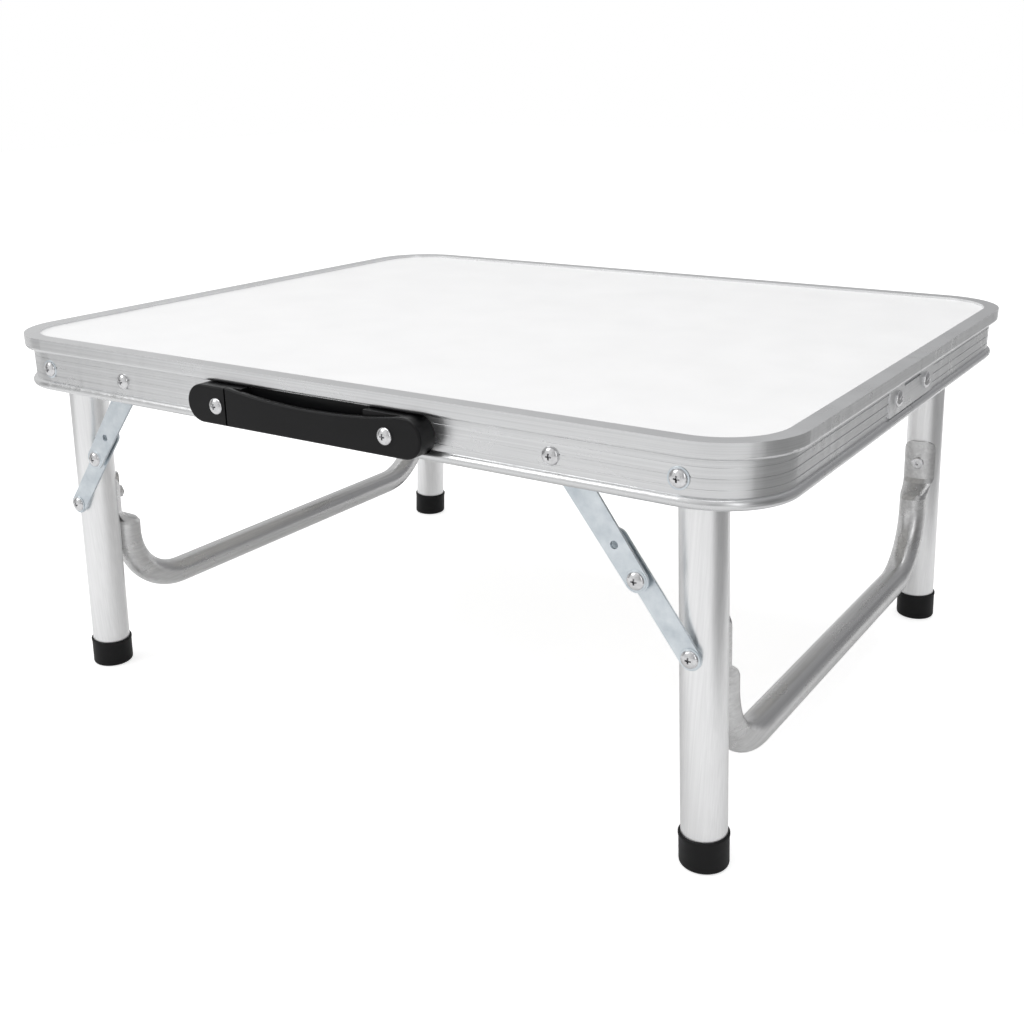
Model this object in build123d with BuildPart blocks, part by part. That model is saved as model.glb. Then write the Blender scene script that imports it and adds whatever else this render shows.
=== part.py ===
"""Low folding table: an aluminium edge frame round a laminated board, two folding leg sets,
a two-link brace on each front leg, and a moulded carrying handle. Millimetres, +Z up.
The origin is on the floor, under the middle of the whole table with its handle."""
import os
from math import cos, hypot, radians, sin, sqrt, tan

from build123d import *

os.makedirs("parts", exist_ok=True)

# ---- overall sizes ----
table_length = 540.0
table_width = 450.0
table_height = 240.0
corner_radius = 46.0

# ---- edge frame, one extrusion bent round the board ----
frame_height = 34.0
frame_wall = 1.6
band_height = 9.0
band_proud = 5.0
band_round = 2.4
lip_width = 9.7
lip_thickness = 1.5
rim_round = 0.7
bead_height = 6.0
bead_proud = 2.6
web_groove_depth = 0.3
web_groove_width = 0.7
web_groove_spacing = 5.4
butt_gap = 0.3

# ---- board ----
board_thickness = 3.0
board_edge_gap = 0.4

# ---- fasteners ----
screw_radius = 2.5
hole_clearance = 0.1
pivot_clearance = 0.05
axial_play = 0.1
head_radius = 4.9
head_height = 2.6
head_round = 1.7
recess_length = 5.0
recess_width = 1.1
recess_depth = 1.6
nut_across_flats = 8.0
nut_height = 4.0
thin_nut_height = 3.2
screw_tip = 0.8

# ---- legs ----
leg_radius = 12.5
leg_wall = 1.5
leg_pivot_x = 223.0
leg_pivot_drop = 20.0
leg_y = 192.0
leg_lean = 2.5
leg_above_pivot = 7.0
plug_cap = 1.4
plug_depth = 3.6
plug_inset = 1.0
bush_radius = 5.5
bush_play = 0.3

# ---- rubber feet ----
cap_wall = 1.0
cap_height = 19.0
cap_floor = 4.0
cap_round = 1.6

# ---- crossbars ----
bar_radius = 9.4
bar_wall = 1.2
bar_height = 47.6
bar_bend = 46.0
bar_rise = 76.56
bar_end_above = 16.0
bar_end_below = 12.0
bar_neck = 12.0
bar_end_thickness = 2.0
bar_end_half_angle = 50.0
neck_sections = 4
bar_end_corner = 7.0
rivet_head_radius = 4.4
rivet_head_height = 1.8
rivet_round = 1.1
rivet_tail = 1.6
rivet_tail_radius = 3.6
rivet_bore = 1.4

# ---- braces ----
brace_frame_x = 154.0
link_thickness = 1.5
upper_link_top_radius = 8.0
upper_link_knee_radius = 6.6
lower_link_radius = 6.2
lower_link_tail = 22.0
lock_hole_radius = 2.2
lock_hole_from_knee = 20.5
lock_button_height = 0.8
leg_spacer = 2.5
spacer_radius = 4.5
layer_gap = 0.4
knee_gap = 0.3
knee_tail_height = 1.0

# ---- splice at the middle of the right rail ----
splice_length = 84.0
splice_height = 17.4
splice_middle = 15.5
splice_thickness = 1.0
splice_backing_thickness = 1.6
splice_corner = 1.5
splice_screw_y = 27.0
splice_notch_length = 33.0
splice_notch_depth = 3.6

# ---- carrying handle on the front rail ----
handle_length = 168.0
handle_height = 22.4
handle_below_band = 0.2
handle_depth = 13.0
handle_back = 2.5
grip_thickness = 3.5
finger_gap_half = 44.0
grip_dip = 4.6
grip_dip_inset = 3.0
grip_round = 1.3
handle_seam_x = -54.5
handle_seam = 0.4
handle_screw_x = 61.0
bead_relief = 0.3

# ---- worked-out places ----
frame_bottom = table_height - frame_height
web_face = band_proud
web_back = band_proud + frame_wall
board_under = frame_height - lip_thickness - board_thickness
band_bottom = frame_height - band_height
pivot_z = table_height - leg_pivot_drop
handle_overhang = handle_depth + head_height - web_face
centre_y = handle_overhang / 2

front_web_y = centre_y - table_width / 2 + web_face
front_web_back_y = centre_y - table_width / 2 + web_back
back_web_y = centre_y + table_width / 2 - web_face
back_web_back_y = centre_y + table_width / 2 - web_back
right_web_x = table_length / 2 - web_face
right_web_back_x = table_length / 2 - web_back
front_leg_y = centre_y - leg_y
back_leg_y = centre_y + leg_y
leg_to_floor = pivot_z / cos(radians(leg_lean))

# the crossbar's middle and its fasteners, measured down the leg from the pivot
bar_drop = (pivot_z - bar_height) / cos(radians(leg_lean))
bar_end_drop = bar_drop - bar_rise

# the four layers of a brace, counted from the front leg's face towards the front rail
leg_face_y = front_leg_y - leg_radius
lower_link_y = leg_face_y - leg_spacer - axial_play
upper_link_y = lower_link_y - link_thickness - axial_play - head_height - layer_gap

# screw places on the rails: x and z on the front and back rails, y and z on the right rail
handle_top = frame_bottom + band_bottom - handle_below_band
handle_z = handle_top - handle_height / 2
splice_z = frame_bottom + splice_middle
pivot_seats = [(-leg_pivot_x, pivot_z), (leg_pivot_x, pivot_z)]
brace_seats = [(-brace_frame_x, pivot_z), (brace_frame_x, pivot_z)]
handle_seats = [(-handle_screw_x, handle_z), (handle_screw_x, handle_z)]
splice_seats = [(centre_y - splice_screw_y, splice_z), (centre_y + splice_screw_y, splice_z)]

SIDES = {"right": 1, "left": -1}


def leg_frame(side):
    """The leaning frame of one leg set: origin on the pivot line, local Z up along the legs,
    local X outwards, local Y along or against the table's Y."""
    lean = radians(leg_lean)
    return Plane(
        origin=(side * leg_pivot_x, centre_y, pivot_z),
        x_dir=(side * cos(lean), 0, sin(lean)),
        z_dir=(-side * sin(lean), 0, cos(lean)),
    )


def leg_point(side, drop):
    """World x and z of a point on the leg axis, measured down the leg from its pivot."""
    lean = radians(leg_lean)
    return side * (leg_pivot_x + drop * sin(lean)), pivot_z - drop * cos(lean)


def local_y(side, y):
    """A world y in the leg frame, whose local Y points backwards on the right side only."""
    return side * (y - centre_y)


def front_plane(y):
    """A plane across the table at y, seen from the front: local X is +X, local Y is up,
    and extrusions run towards the front."""
    return Plane(origin=(0, y, 0), x_dir=(1, 0, 0), z_dir=(0, -1, 0))


def back_plane(y):
    """The same, seen from behind: local X is -X and extrusions run towards the back."""
    return Plane(origin=(0, y, 0), x_dir=(-1, 0, 0), z_dir=(0, 1, 0))


def side_plane(x):
    """A plane at x seen from the right: local X is +Y, local Y is up."""
    return Plane(origin=(x, 0, 0), x_dir=(0, 1, 0), z_dir=(1, 0, 0))


def finish(piece, name):
    """Labels a finished piece and writes its STEP file."""
    piece.part.label = name
    export_step(piece.part, f"parts/{name}.step")


def pan_screws(seats, length, plane):
    """Pan-head screws with a cross recess. The plane lies under the heads and faces outwards,
    seats are the places on it, and the shanks run inwards."""
    with BuildPart() as screws:
        with BuildSketch(plane):
            with Locations(*seats):
                Circle(head_radius)
        extrude(amount=head_height)
        crown = screws.edges().filter_by(GeomType.CIRCLE).group_by(distance_along(plane))[-1]
        fillet(crown, radius=head_round)
        with BuildSketch(plane):
            with Locations(*seats):
                Circle(screw_radius)
        extrude(amount=-length)
        with BuildSketch(plane.offset(head_height - recess_depth)):
            with Locations(*seats):
                Rectangle(recess_length, recess_width)
                Rectangle(recess_width, recess_length)
        extrude(amount=recess_depth, mode=Mode.SUBTRACT)
    return screws


def distance_along(plane):
    """A sorting key: how far an edge's centre lies along the plane's normal."""
    return lambda shape: round((shape.center() - plane.origin).dot(plane.z_dir), 3)


def hex_nuts(seats, plane, height):
    """Plain nuts that stand on the plane, bored to the screw's own size."""
    with BuildPart() as nuts:
        with BuildSketch(plane):
            with Locations(*seats):
                RegularPolygon(nut_across_flats / 2, 6, major_radius=False)
                Circle(screw_radius, mode=Mode.SUBTRACT)
        extrude(amount=height)
    return nuts


def collars(seats, plane, length, radius):
    """Round spacers that stand on the plane, bored to the screw's own size."""
    with BuildPart() as rings:
        with BuildSketch(plane):
            with Locations(*seats):
                Circle(radius)
                Circle(screw_radius, mode=Mode.SUBTRACT)
        extrude(amount=length)
    return rings


# ---- edge frame: the section is swept round the rim from a butt joint on the right rail ----
half_length = table_length / 2
half_width = table_width / 2
with BuildLine(Plane.XY.offset(frame_bottom)) as rim_path:
    FilletPolyline(
        (half_length, centre_y + butt_gap / 2),
        (half_length, centre_y + half_width),
        (-half_length, centre_y + half_width),
        (-half_length, centre_y - half_width),
        (half_length, centre_y - half_width),
        (half_length, centre_y - butt_gap / 2),
        radius=corner_radius,
    )

section_plane = Plane(
    origin=(half_length, centre_y + butt_gap / 2, frame_bottom), x_dir=(-1, 0, 0), z_dir=(0, 1, 0)
)
with BuildPart() as edge_frame:
    with BuildSketch(section_plane) as section:
        with BuildLine():
            Polyline(
                (web_face, bead_height),
                (web_face, band_bottom),
                (0, band_bottom),
                (0, frame_height),
                (lip_width, frame_height),
                (lip_width, frame_height - lip_thickness),
                (frame_wall, frame_height - lip_thickness),
                (frame_wall, band_bottom + frame_wall),
                (web_face, band_bottom + frame_wall),
                (web_face, board_under),
                (web_back, board_under),
                (web_back, 0),
                (web_face, 0),
            )
            ThreePointArc(
                (web_face, 0), (web_face - bead_proud, bead_height / 2), (web_face, bead_height)
            )
        make_face()
        band_corner, rim_corner = section.vertices().group_by(Axis.X)[0].sort_by(Axis.Y)
        fillet(band_corner, radius=band_round)
        fillet(rim_corner, radius=rim_round)
        with Locations((web_face, (bead_height + band_bottom) / 2)):
            with GridLocations(0, web_groove_spacing, 1, 3):
                Rectangle(2 * web_groove_depth, web_groove_width, mode=Mode.SUBTRACT)
    sweep(path=rim_path.wire())
    # holes through the rails for the leg pivots, braces, handle and splice
    with BuildSketch(front_plane(front_web_y)):
        with Locations(*pivot_seats, *brace_seats, *handle_seats):
            Circle(screw_radius + hole_clearance)
    extrude(amount=2 * frame_wall, both=True, mode=Mode.SUBTRACT)
    with BuildSketch(back_plane(back_web_y)):
        with Locations(*pivot_seats):
            Circle(screw_radius + hole_clearance)
    extrude(amount=2 * frame_wall, both=True, mode=Mode.SUBTRACT)
    with BuildSketch(side_plane(right_web_back_x)):
        with Locations(*splice_seats):
            Circle(screw_radius + hole_clearance)
    extrude(amount=frame_wall, mode=Mode.SUBTRACT)
finish(edge_frame, "edge_frame")

# ---- board: slides under the lip and rests on top of the web ----
board_inset = frame_wall + board_edge_gap
with BuildPart() as board:
    with BuildSketch(Plane.XY.offset(frame_bottom + board_under)):
        with Locations((0, centre_y)):
            RectangleRounded(
                table_length - 2 * board_inset,
                table_width - 2 * board_inset,
                corner_radius - board_inset,
            )
    extrude(amount=board_thickness)
finish(board, "board")

# ---- splice: an outer plate, a backing plate, two screws and nuts over the butt joint ----
with BuildPart() as splice_plate:
    with BuildSketch(side_plane(right_web_x)):
        with Locations((centre_y, splice_z)):
            RectangleRounded(splice_length, splice_height, splice_corner)
        with Locations((centre_y, splice_z + splice_height / 2)):
            Rectangle(splice_notch_length, 2 * splice_notch_depth, mode=Mode.SUBTRACT)
        with Locations(*splice_seats):
            Circle(screw_radius + hole_clearance, mode=Mode.SUBTRACT)
    extrude(amount=splice_thickness)
finish(splice_plate, "splice_plate")

splice_backing_x = right_web_back_x - splice_backing_thickness
with BuildPart() as splice_backing:
    with BuildSketch(side_plane(splice_backing_x)):
        with Locations((centre_y, splice_z)):
            RectangleRounded(splice_length, splice_height, splice_corner)
        with Locations(*splice_seats):
            Circle(screw_radius + hole_clearance, mode=Mode.SUBTRACT)
    extrude(amount=splice_backing_thickness)
finish(splice_backing, "splice_backing")

splice_grip = splice_thickness + frame_wall + splice_backing_thickness
splice_head_plane = side_plane(right_web_x + splice_thickness)
splice_screws = pan_screws(splice_seats, splice_grip + nut_height + screw_tip, splice_head_plane)
finish(splice_screws, "splice_screws")
splice_nuts = hex_nuts(splice_seats, side_plane(splice_backing_x - nut_height), nut_height)
finish(splice_nuts, "splice_nuts")

# ---- handle: a base with two end blocks, and a grip panel that leaves a finger gap ----
handle_middle = (0, handle_z)
block_depth = handle_depth - grip_thickness
block_face = front_plane(front_web_y - block_depth)
with BuildPart() as handle_base:
    with BuildSketch(front_plane(front_web_y)):
        with Locations(handle_middle):
            SlotOverall(handle_length, handle_height)
    extrude(amount=handle_back)
    with BuildSketch(front_plane(front_web_y - handle_back)):
        with Locations(handle_middle):
            SlotOverall(handle_length, handle_height)
            Rectangle(2 * finger_gap_half, handle_height, mode=Mode.SUBTRACT)
    extrude(amount=block_depth - handle_back)
    with BuildSketch(block_face):
        with Locations(handle_middle):
            SlotOverall(handle_length, handle_height)
        with Locations((handle_seam_x, handle_z)):
            Rectangle(
                handle_length, handle_height,
                align=(Align.MIN, Align.CENTER), mode=Mode.SUBTRACT,
            )
    extrude(amount=grip_thickness)
    left_face = handle_base.faces().sort_by(Axis.Y)[0]
    fillet(left_face.edges().sort_by(Axis.X)[:-1], radius=grip_round)
    # room behind the base for the frame's bead
    with BuildSketch(front_plane(front_web_y)):
        with Locations((0, frame_bottom)):
            Rectangle(handle_length, bead_height + bead_relief, align=(Align.CENTER, Align.MIN))
    extrude(amount=bead_proud + bead_relief, mode=Mode.SUBTRACT)
    with BuildSketch(front_plane(front_web_y)):
        with Locations(*handle_seats):
            Circle(screw_radius + hole_clearance)
    extrude(amount=handle_depth, mode=Mode.SUBTRACT)
finish(handle_base, "handle_base")

grip_left = handle_seam_x + handle_seam
dip_start = grip_left + grip_dip_inset
dip_end = handle_length / 2 - handle_height / 2 - grip_dip_inset
dip_half = (dip_end - dip_start) / 2
dip_radius = (dip_half**2 + grip_dip**2) / (2 * grip_dip)
with BuildPart() as handle_grip:
    with BuildSketch(block_face):
        with Locations(handle_middle):
            SlotOverall(handle_length, handle_height)
        with Locations((grip_left, handle_z)):
            Rectangle(
                handle_length, handle_height,
                align=(Align.MAX, Align.CENTER), mode=Mode.SUBTRACT,
            )
        # the top edge dips in one long arc between its two ends
        with Locations((dip_start + dip_half, handle_top - grip_dip + dip_radius)):
            Circle(dip_radius, mode=Mode.SUBTRACT)
    extrude(amount=grip_thickness)
    fillet(handle_grip.faces().sort_by(Axis.Y)[0].edges(), radius=grip_round)
    with BuildSketch(block_face):
        with Locations(handle_seats[-1]):
            Circle(screw_radius + hole_clearance)
    extrude(amount=grip_thickness, mode=Mode.SUBTRACT)
finish(handle_grip, "handle_grip")

handle_reach = handle_depth + frame_wall + nut_height + screw_tip
handle_screws = pan_screws(handle_seats, handle_reach, front_plane(front_web_y - handle_depth))
finish(handle_screws, "handle_screws")
handle_nuts = hex_nuts(handle_seats, front_plane(front_web_back_y + nut_height), nut_height)
finish(handle_nuts, "handle_nuts")

# ---- leg pivots: screws through the rails, nylon bushes, and nuts past the tubes ----
pivot_depth = table_width / 2 - web_face - (leg_y - leg_radius)
pivot_reach = pivot_depth + bush_play + nut_height + screw_tip
bush_length = leg_face_y - front_web_back_y - 2 * bush_play
with BuildPart() as leg_pivot_screws:
    add(pan_screws(pivot_seats, pivot_reach, front_plane(front_web_y)).part)
    add(pan_screws(pivot_seats, pivot_reach, back_plane(back_web_y)).part)
finish(leg_pivot_screws, "leg_pivot_screws")

with BuildPart() as leg_pivot_bushes:
    add(collars(pivot_seats, front_plane(leg_face_y - bush_play), bush_length, bush_radius).part)
    back_bush_plane = back_plane(back_leg_y + leg_radius + bush_play)
    add(collars(pivot_seats, back_bush_plane, bush_length, bush_radius).part)
finish(leg_pivot_bushes, "leg_pivot_bushes")

front_nut_y = front_leg_y + leg_radius + bush_play
back_nut_y = back_leg_y - leg_radius - bush_play
with BuildPart() as leg_pivot_nuts:
    add(hex_nuts(pivot_seats, front_plane(front_nut_y + nut_height), nut_height).part)
    add(hex_nuts(pivot_seats, back_plane(back_nut_y - nut_height), nut_height).part)
finish(leg_pivot_nuts, "leg_pivot_nuts")

# ---- brace mounts on the front rail: a screw, a spacer and a thin nut on each side ----
brace_nut_y = upper_link_y + axial_play
brace_reach = brace_nut_y + thin_nut_height + screw_tip - front_web_y
brace_frame_screws = pan_screws(brace_seats, brace_reach, front_plane(front_web_y))
finish(brace_frame_screws, "brace_frame_screws")

spacer_plane = front_plane(upper_link_y - link_thickness - axial_play)
spacer_length = upper_link_y - link_thickness - axial_play - front_web_back_y
brace_frame_spacers = collars(brace_seats, spacer_plane, spacer_length, spacer_radius)
finish(brace_frame_spacers, "brace_frame_spacers")
brace_frame_nuts = hex_nuts(
    brace_seats, front_plane(brace_nut_y + thin_nut_height), thin_nut_height
)
finish(brace_frame_nuts, "brace_frame_nuts")


# ---- leg sets ----
def leg_rod(side, y, radius):
    """A solid rod along a leg, for cutting what seats on its tube."""
    with BuildPart() as rod:
        with BuildSketch(leg_frame(side).offset(-leg_to_floor)):
            with Locations((0, local_y(side, y))):
                Circle(radius)
        extrude(amount=leg_to_floor)
    return rod.part


def make_leg(side, y, fastener_depth, name):
    """One leg tube with its pivot hole, and the hole for its crossbar fastener, drilled from
    the crossbar's side to fastener_depth."""
    tube_end = leg_to_floor - cap_floor
    with BuildPart() as leg:
        with BuildSketch(leg_frame(side).offset(-tube_end)):
            with Locations((0, local_y(side, y))):
                Circle(leg_radius)
                Circle(leg_radius - leg_wall, mode=Mode.SUBTRACT)
        extrude(amount=tube_end + leg_above_pivot)
        with BuildSketch(front_plane(y + leg_radius)):
            with Locations((side * leg_pivot_x, pivot_z)):
                Circle(screw_radius + pivot_clearance)
        extrude(amount=2 * leg_radius, mode=Mode.SUBTRACT)
        inner_plane = back_plane if y < centre_y else front_plane
        inward = 1 if y < centre_y else -1
        fastener_x, fastener_z = leg_point(side, bar_end_drop)
        with BuildSketch(inner_plane(y + inward * (leg_radius - fastener_depth))):
            with Locations((-inward * fastener_x, fastener_z)):
                Circle(screw_radius)
        extrude(amount=fastener_depth, mode=Mode.SUBTRACT)
    finish(leg, name)


def make_foot_cap(side, y, name):
    """A rubber cup on the end of a leg, cut flat where it stands on the floor."""
    cap_radius = leg_radius + cap_wall
    cap_below = cap_radius * tan(radians(leg_lean)) + cap_wall
    middle = (0, local_y(side, y))
    with BuildPart() as cap:
        with BuildSketch(leg_frame(side).offset(-leg_to_floor - cap_below)):
            with Locations(middle):
                Circle(cap_radius)
        extrude(amount=cap_height + cap_below)
        with BuildSketch(leg_frame(side).offset(cap_floor - leg_to_floor)):
            with Locations(middle):
                Circle(leg_radius)
        extrude(amount=cap_height, mode=Mode.SUBTRACT)
        split(bisect_by=Plane.XY, keep=Keep.TOP)
        fillet(cap.faces().sort_by(Axis.Z)[0].edges(), radius=cap_round)
    finish(cap, name)


def make_leg_plugs(side, name):
    """Plastic plugs in the tops of both tubes of one leg set."""
    tops = [(0, -leg_y), (0, leg_y)]
    with BuildPart() as plugs:
        with BuildSketch(leg_frame(side).offset(leg_above_pivot - plug_depth)):
            with Locations(*tops):
                Circle(leg_radius - leg_wall)
        extrude(amount=plug_depth)
        with BuildSketch(leg_frame(side).offset(leg_above_pivot)):
            with Locations(*tops):
                Circle(leg_radius - plug_inset)
        extrude(amount=plug_cap)
    finish(plugs, name)


def saddle_outline(leg_centre, facing):
    """The section of a flattened bar end: a strip that hugs the leg on the side that faces
    along local Y by the sign of facing."""
    start = facing * 90 - bar_end_half_angle
    with BuildLine() as outline:
        outer = CenterArc(leg_centre, leg_radius + bar_end_thickness, start, 2 * bar_end_half_angle)
        inner = CenterArc(leg_centre, leg_radius, start, 2 * bar_end_half_angle)
        Line(outer @ 0, inner @ 0)
        Line(outer @ 1, inner @ 1)
    return outline.edges()


def neck_outline(bar_centre, leg_centre, facing, share):
    """A section of the neck in four edges. share is 0 at the round bar and 1 at the saddle."""

    def spot(centre, radius, angle):
        turn = radians(facing * 90 + angle)
        return Vector(centre[0] + radius * cos(turn), centre[1] + radius * sin(turn))

    outer = leg_radius + bar_end_thickness
    middle = leg_radius + bar_end_thickness / 2
    half = bar_end_half_angle
    round_spots = [spot(bar_centre, bar_radius, 45 * step) for step in range(-1, 7)]
    flat_spots = [
        spot(leg_centre, radius, angle)
        for radius, angle in (
            (outer, -half), (outer, 0), (outer, half), (middle, half),
            (leg_radius, half), (leg_radius, 0), (leg_radius, -half), (middle, -half),
        )
    ]
    spots = [near * (1 - share) + far * share for near, far in zip(round_spots, flat_spots)]
    with BuildLine() as outline:
        for corner in range(0, 8, 2):
            if share == 1 and corner in (2, 6):
                Line(spots[corner], spots[(corner + 2) % 8])
            else:
                ThreePointArc(spots[corner], spots[corner + 1], spots[(corner + 2) % 8])
    return outline.edges()


def make_crossbar(side, name):
    """A U-shaped tube between the two legs of a set. Its flattened ends hug the legs."""
    frame = leg_frame(side)
    arm_y = leg_y - leg_radius - bar_radius
    flat_start = bar_end_drop + bar_end_below
    neck_start = flat_start + bar_neck
    with BuildLine(Plane(origin=frame.origin, x_dir=frame.y_dir, z_dir=frame.x_dir)) as bar_path:
        FilletPolyline(
            (-arm_y, -neck_start), (-arm_y, -bar_drop), (arm_y, -bar_drop), (arm_y, -neck_start),
            radius=bar_bend,
        )
    with BuildPart() as crossbar:
        with BuildSketch(frame.offset(-neck_start)):
            with Locations((0, -arm_y)):
                Circle(bar_radius)
                Circle(bar_radius - bar_wall, mode=Mode.SUBTRACT)
        sweep(path=bar_path.wire())
        for end in (-1, 1):
            # the shape eases in and out of the neck, so the tube swells into the flat end
            for step in range(neck_sections):
                for along in (step / neck_sections, (step + 1) / neck_sections):
                    share = along * along * (3 - 2 * along)
                    with BuildSketch(frame.offset(-neck_start + along * bar_neck)):
                        make_face(neck_outline((0, end * arm_y), (0, end * leg_y), -end, share))
                loft()
            with BuildSketch(frame.offset(-flat_start)):
                make_face(saddle_outline((0, end * leg_y), -end))
            extrude(amount=bar_end_below + bar_end_above)
        # the flattened ends have round upper corners
        corner_x = (leg_radius + bar_end_thickness) * sin(radians(bar_end_half_angle))
        corner_middle = corner_x - bar_end_corner
        end_top = bar_end_above - bar_end_drop
        with BuildSketch(Plane(origin=frame.origin, x_dir=frame.x_dir, z_dir=-frame.y_dir)):
            with Locations((-corner_x, end_top), (corner_x, end_top)):
                Rectangle(2 * bar_end_corner, 2 * bar_end_corner)
            corner_z = end_top - bar_end_corner
            with Locations((-corner_middle, corner_z), (corner_middle, corner_z)):
                Circle(bar_end_corner, mode=Mode.SUBTRACT)
        extrude(amount=leg_y, both=True, mode=Mode.SUBTRACT)
        with BuildSketch(front_plane(centre_y)):
            with Locations(leg_point(side, bar_end_drop)):
                Circle(screw_radius)
        extrude(amount=leg_y, both=True, mode=Mode.SUBTRACT)
    finish(crossbar, name)


def make_back_rivet(side, name):
    """A hollow blind rivet that holds the crossbar's back end to its leg."""
    seat = leg_point(side, bar_end_drop)
    bar_face_y = back_leg_y - leg_radius - bar_end_thickness
    tail_y = back_leg_y - sqrt((leg_radius - leg_wall) ** 2 - rivet_tail_radius**2)
    seat_depth = bar_end_thickness / 2
    saddle_rod = leg_rod(side, back_leg_y, leg_radius + bar_end_thickness)
    with BuildPart() as rivet:
        with BuildSketch(front_plane(bar_face_y + seat_depth)):
            with Locations(seat):
                Circle(rivet_head_radius)
        extrude(amount=seat_depth + rivet_head_height)
        fillet(rivet.edges().filter_by(GeomType.CIRCLE).sort_by(Axis.Y)[0], radius=rivet_round)
        add(saddle_rod, mode=Mode.SUBTRACT)
        with BuildSketch(front_plane(tail_y)):
            with Locations(seat):
                Circle(screw_radius)
        extrude(amount=tail_y - bar_face_y)
        with BuildSketch(back_plane(tail_y)):
            with Locations((-seat[0], seat[1])):
                Circle(rivet_tail_radius)
        extrude(amount=rivet_tail)
        with BuildSketch(front_plane(bar_face_y)):
            with Locations(seat):
                Circle(rivet_bore)
        extrude(amount=rivet_head_height, mode=Mode.SUBTRACT)
    finish(rivet, name)


def make_front_bolt(side, prefix):
    """The bolt that carries the lower brace link and the crossbar's front end, with its
    spacer and nut."""
    seat = [leg_point(side, bar_end_drop)]
    head_y = lower_link_y - link_thickness - axial_play
    nut_y = front_leg_y + leg_radius + bar_end_thickness + hole_clearance
    bolt = pan_screws(seat, nut_y + nut_height + screw_tip - head_y, front_plane(head_y))
    finish(bolt, f"{prefix}_leg_bolt")
    nut = hex_nuts(seat, front_plane(nut_y + nut_height), nut_height)
    finish(nut, f"{prefix}_leg_bolt_nut")
    tube_rod = leg_rod(side, front_leg_y, leg_radius)
    with BuildPart() as spacer:
        with BuildSketch(front_plane(front_leg_y - leg_radius / 2)):
            with Locations(*seat):
                Circle(spacer_radius)
                Circle(screw_radius, mode=Mode.SUBTRACT)
        extrude(amount=leg_radius / 2 + leg_spacer)
        add(tube_rod, mode=Mode.SUBTRACT)
    finish(spacer, f"{prefix}_leg_spacer")


# ---- braces ----
def brace_points(side):
    """The frame pivot, the knee and the leg bolt of one brace, as x and z. The links are in
    line when the leg is open, and lie flat along the rail when it is folded."""
    frame_point = (side * brace_frame_x, pivot_z)
    bolt_point = leg_point(side, bar_end_drop)
    span = hypot(bolt_point[0] - frame_point[0], bolt_point[1] - frame_point[1])
    fold_offset = bar_end_drop - (leg_pivot_x - brace_frame_x)
    upper_length = (span + fold_offset) / 2
    share = upper_length / span
    knee = tuple(a + share * (b - a) for a, b in zip(frame_point, bolt_point))
    return frame_point, knee, bolt_point


def along(start, end, distance):
    """The point at a distance from start towards end."""
    span = hypot(end[0] - start[0], end[1] - start[1])
    return tuple(a + distance / span * (b - a) for a, b in zip(start, end))


def make_brace(side, prefix):
    """The two links of a brace and the two halves of its knee pin, each in its own layer."""
    frame_point, knee, bolt_point = brace_points(side)
    lock_point = along(knee, frame_point, lock_hole_from_knee)
    with BuildPart() as upper_link:
        with BuildSketch(front_plane(upper_link_y)):
            with Locations(frame_point):
                Circle(upper_link_top_radius)
            with Locations(knee):
                Circle(upper_link_knee_radius)
            make_hull()
            with Locations(frame_point):
                Circle(screw_radius + pivot_clearance, mode=Mode.SUBTRACT)
            with Locations(knee):
                Circle(screw_radius, mode=Mode.SUBTRACT)
            with Locations(lock_point):
                Circle(lock_hole_radius, mode=Mode.SUBTRACT)
        extrude(amount=link_thickness)
    finish(upper_link, f"{prefix}_upper_link")

    with BuildPart() as lower_link:
        with BuildSketch(front_plane(lower_link_y)):
            with Locations(along(knee, frame_point, lower_link_tail), bolt_point):
                Circle(lower_link_radius)
            make_hull()
            with Locations(bolt_point):
                Circle(screw_radius + pivot_clearance, mode=Mode.SUBTRACT)
            with Locations(knee):
                Circle(screw_radius, mode=Mode.SUBTRACT)
        extrude(amount=link_thickness)
        # the lock button on the tail shows through the upper link's hole
        with BuildSketch(front_plane(lower_link_y - link_thickness)):
            with Locations(lock_point):
                Circle(lock_hole_radius - layer_gap)
        extrude(amount=lock_button_height)
    finish(lower_link, f"{prefix}_lower_link")

    knee_face = front_plane(upper_link_y - link_thickness)
    layer_space = axial_play + head_height + layer_gap
    knee_screw = pan_screws([knee], link_thickness, knee_face)
    with BuildPart() as knee_pin:
        add(knee_screw.part)
        with BuildSketch(front_plane(upper_link_y + layer_space - knee_gap)):
            with Locations(knee):
                Circle(spacer_radius)
        extrude(amount=layer_space - knee_gap)
    finish(knee_pin, f"{prefix}_knee_pin")

    with BuildPart() as knee_tail:
        with BuildSketch(front_plane(lower_link_y + knee_tail_height)):
            with Locations(knee):
                Circle(spacer_radius)
        extrude(amount=knee_tail_height)
        with BuildSketch(front_plane(lower_link_y)):
            with Locations(knee):
                Circle(screw_radius)
        extrude(amount=link_thickness)
    finish(knee_tail, f"{prefix}_knee_tail")


for prefix, side in SIDES.items():
    make_leg(side, front_leg_y, 2 * leg_radius, f"{prefix}_front_leg")
    make_leg(side, back_leg_y, leg_radius, f"{prefix}_back_leg")
    make_foot_cap(side, front_leg_y, f"{prefix}_front_foot")
    make_foot_cap(side, back_leg_y, f"{prefix}_back_foot")
    make_leg_plugs(side, f"{prefix}_leg_plugs")
    make_crossbar(side, f"{prefix}_crossbar")
    make_back_rivet(side, f"{prefix}_back_rivet")
    make_front_bolt(side, prefix)
    make_brace(side, prefix)
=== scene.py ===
"""Finishes, fasteners, rubber feet and studio for the low folding table.

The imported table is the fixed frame. The moulded and turned parts are modelled here in
metres, in the table's own frame: +X along the rail with the handle, +Y to the back, +Z up.
"""
import math

import bmesh
import bpy
from mathutils import Matrix, Vector


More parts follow.
